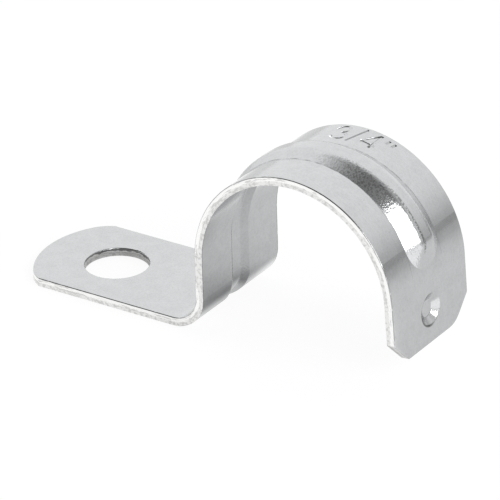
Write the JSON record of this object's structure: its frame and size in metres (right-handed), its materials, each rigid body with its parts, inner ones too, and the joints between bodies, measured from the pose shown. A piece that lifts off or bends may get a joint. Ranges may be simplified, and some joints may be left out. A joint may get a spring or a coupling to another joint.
{
  "type": "conduit strap",
  "caption": "One-hole strap, pressed from a steel strip, that arches over a round conduit and screws to a wall on one side.",
  "frame": {"origin": "centre of the screw hole, on the mounting face (underside of the foot)", "axes": "+Z points away from the wall that the strap is screwed to, +X from the foot to the free leg, +Y along the conduit"},
  "size_m": [0.051, 0.015, 0.0227],
  "materials": {
    "zinc_plated_steel": "bright zinc plating, smooth cold-rolled surface with fine forming marks and sheared edges"
  },
  "bodies": {
    "root": {"strap": "zinc_plated_steel"}
  },
  "joints": []
}
